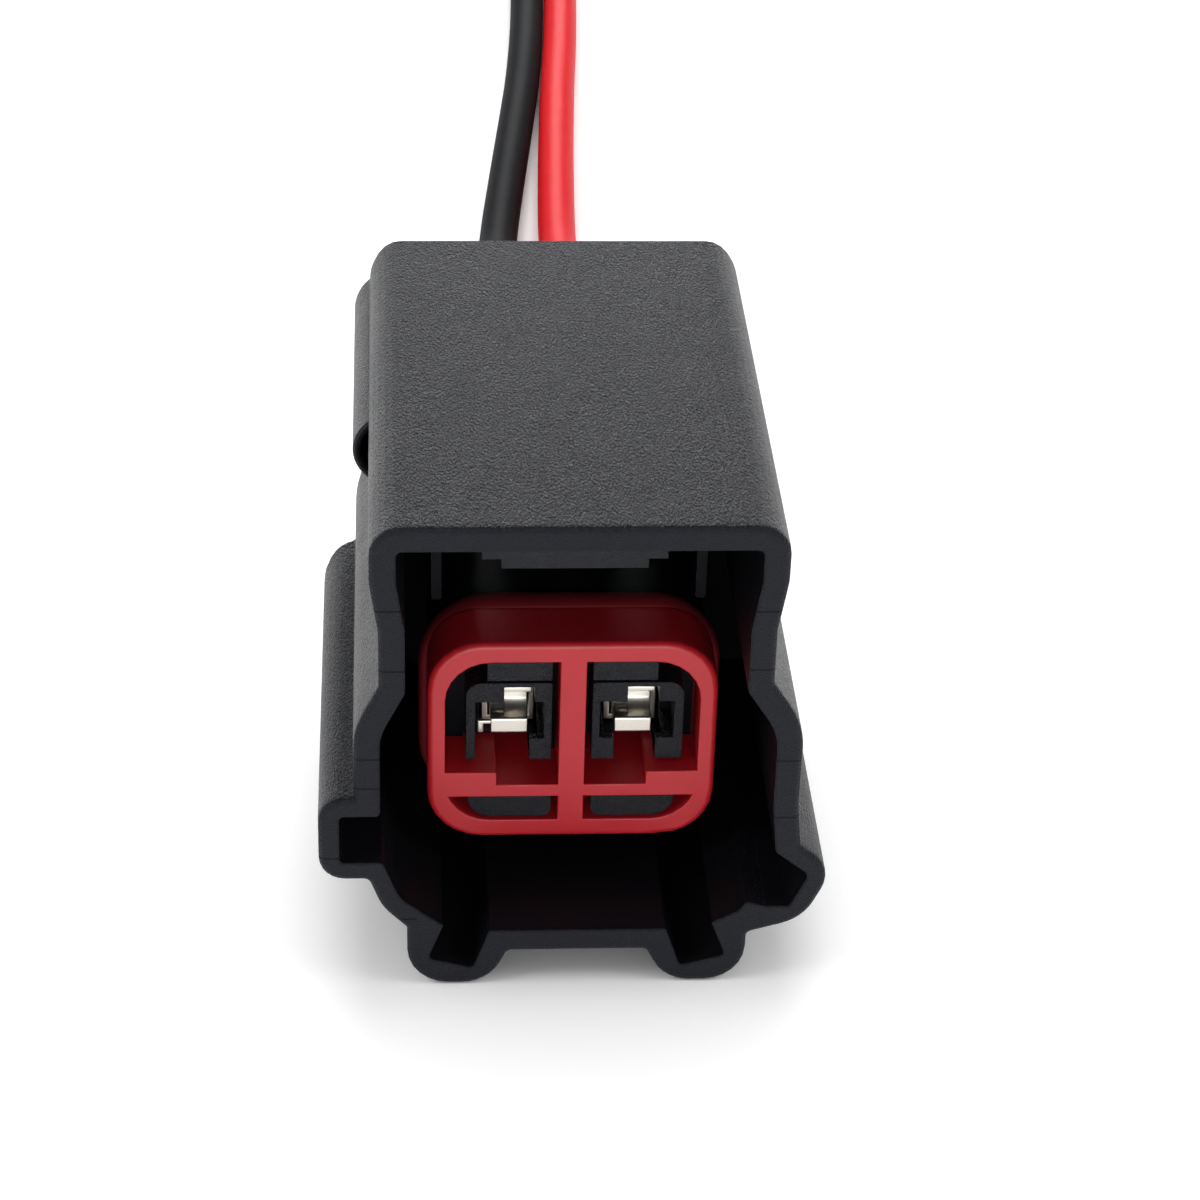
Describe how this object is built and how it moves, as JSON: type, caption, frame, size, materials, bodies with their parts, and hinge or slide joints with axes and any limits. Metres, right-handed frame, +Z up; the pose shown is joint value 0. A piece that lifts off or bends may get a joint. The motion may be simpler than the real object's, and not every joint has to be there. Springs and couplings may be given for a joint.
{
  "type": "sealed pigtail connector",
  "caption": "Sealed wire-harness connector with a keyed rectangular shroud, latch under a roof, red front retainer, tin-plated terminals and bare-ended leads.",
  "frame": {"origin": "middle of the moulded body's footprint, on the surface its two feet stand on", "axes": "+Z up, -Y out of the mating face, +Y along the leads, +X to the right seen from the front"},
  "size_m": [0.0244, 0.184, 0.0259],
  "materials": {
    "housing_black": "moulded polyamide with a fine spark-eroded grain",
    "retainer_red": "satin moulded polyester",
    "seal_red": "matte silicone",
    "terminal_tin": "bright tin plating on stamped brass sheet",
    "wire_seal": "matte silicone",
    "strands_copper": "twisted bare copper strands",
    "insulation_black": "extruded soft vinyl",
    "insulation_red": "extruded soft vinyl"
  },
  "bodies": {
    "root": {"housing": "housing_black", "front_retainer": "retainer_red", "perimeter_seal": "seal_red", "terminal_left": "terminal_tin", "terminal_right": "terminal_tin", "wire_seal_left": "wire_seal", "wire_seal_right": "wire_seal", "crimped_strands_left": "strands_copper", "crimped_strands_right": "strands_copper", "lead_black": "insulation_black", "lead_red": "insulation_red", "stripped_end_black": "strands_copper", "stripped_end_red": "strands_copper"}
  },
  "joints": []
}
